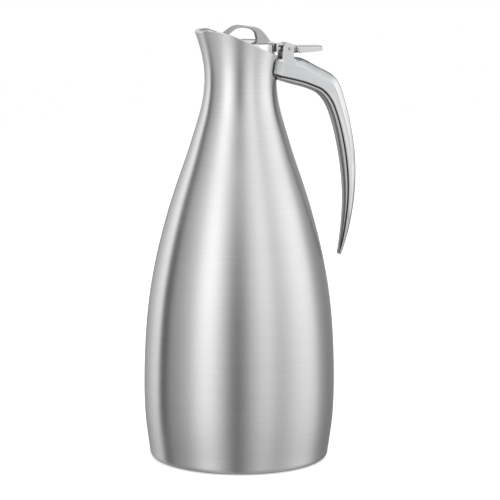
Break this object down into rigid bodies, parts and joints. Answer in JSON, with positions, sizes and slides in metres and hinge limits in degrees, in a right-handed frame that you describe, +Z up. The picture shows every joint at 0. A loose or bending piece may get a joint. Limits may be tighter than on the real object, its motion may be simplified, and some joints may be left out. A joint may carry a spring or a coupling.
{
  "type": "thermal carafe",
  "caption": "Slender double-walled steel carafe with a sprung thumb-lever lid, arched lid grip, sloping pouring rim and claw-shaped open handle.",
  "frame": {"origin": "vessel axis at the plane the carafe stands on", "axes": "+Z up along the vessel axis, +X towards the handle, spout towards -X"},
  "size_m": [0.1552, 0.1384, 0.3165],
  "materials": {
    "brushed_steel": "fine brushing round the vessel",
    "polished_steel": "polished",
    "satin_steel": "satin",
    "plain_steel": "plain",
    "spring_steel": "drawn wire",
    "getter_alloy": "sintered",
    "chrome": "mirror polished",
    "black_rubber": "matt",
    "silicone": "satin",
    "black_plastic": "moulded",
    "foam": "cut foam"
  },
  "bodies": {
    "carafe": {"outer_shell": "brushed_steel", "outer_neck": "brushed_steel", "base_cup": "brushed_steel", "inner_liner": "polished_steel", "vacuum_seal": "polished_steel", "getter": "getter_alloy", "foot_pad": "black_rubber", "neck_bracket": "plain_steel", "handle_gasket": "black_rubber", "handle_shell": "chrome", "handle_cover": "satin_steel", "handle_screws": "plain_steel", "hinge_pin": "plain_steel", "hinge_washers": "plain_steel", "lid_spring": "spring_steel"},
    "lid": {"lid_cap": "chrome", "lid_grip": "satin_steel", "grip_screws": "plain_steel", "lid_plug": "black_plastic", "lid_foam": "foam", "lid_seal": "silicone", "thumb_lever": "chrome", "lever_screws": "plain_steel"}
  },
  "joints": [
    {"name": "lid_hinge", "type": "hinge", "parent": "carafe", "child": "lid", "pos_m": [0.0347, 0, 0.2996], "axis": [0, 1, 0], "range_deg": [0, 20], "stiffness_Nm_per_rad": 0.15, "springref_deg": -34.38, "deforming": ["lid_spring"]}
  ]
}
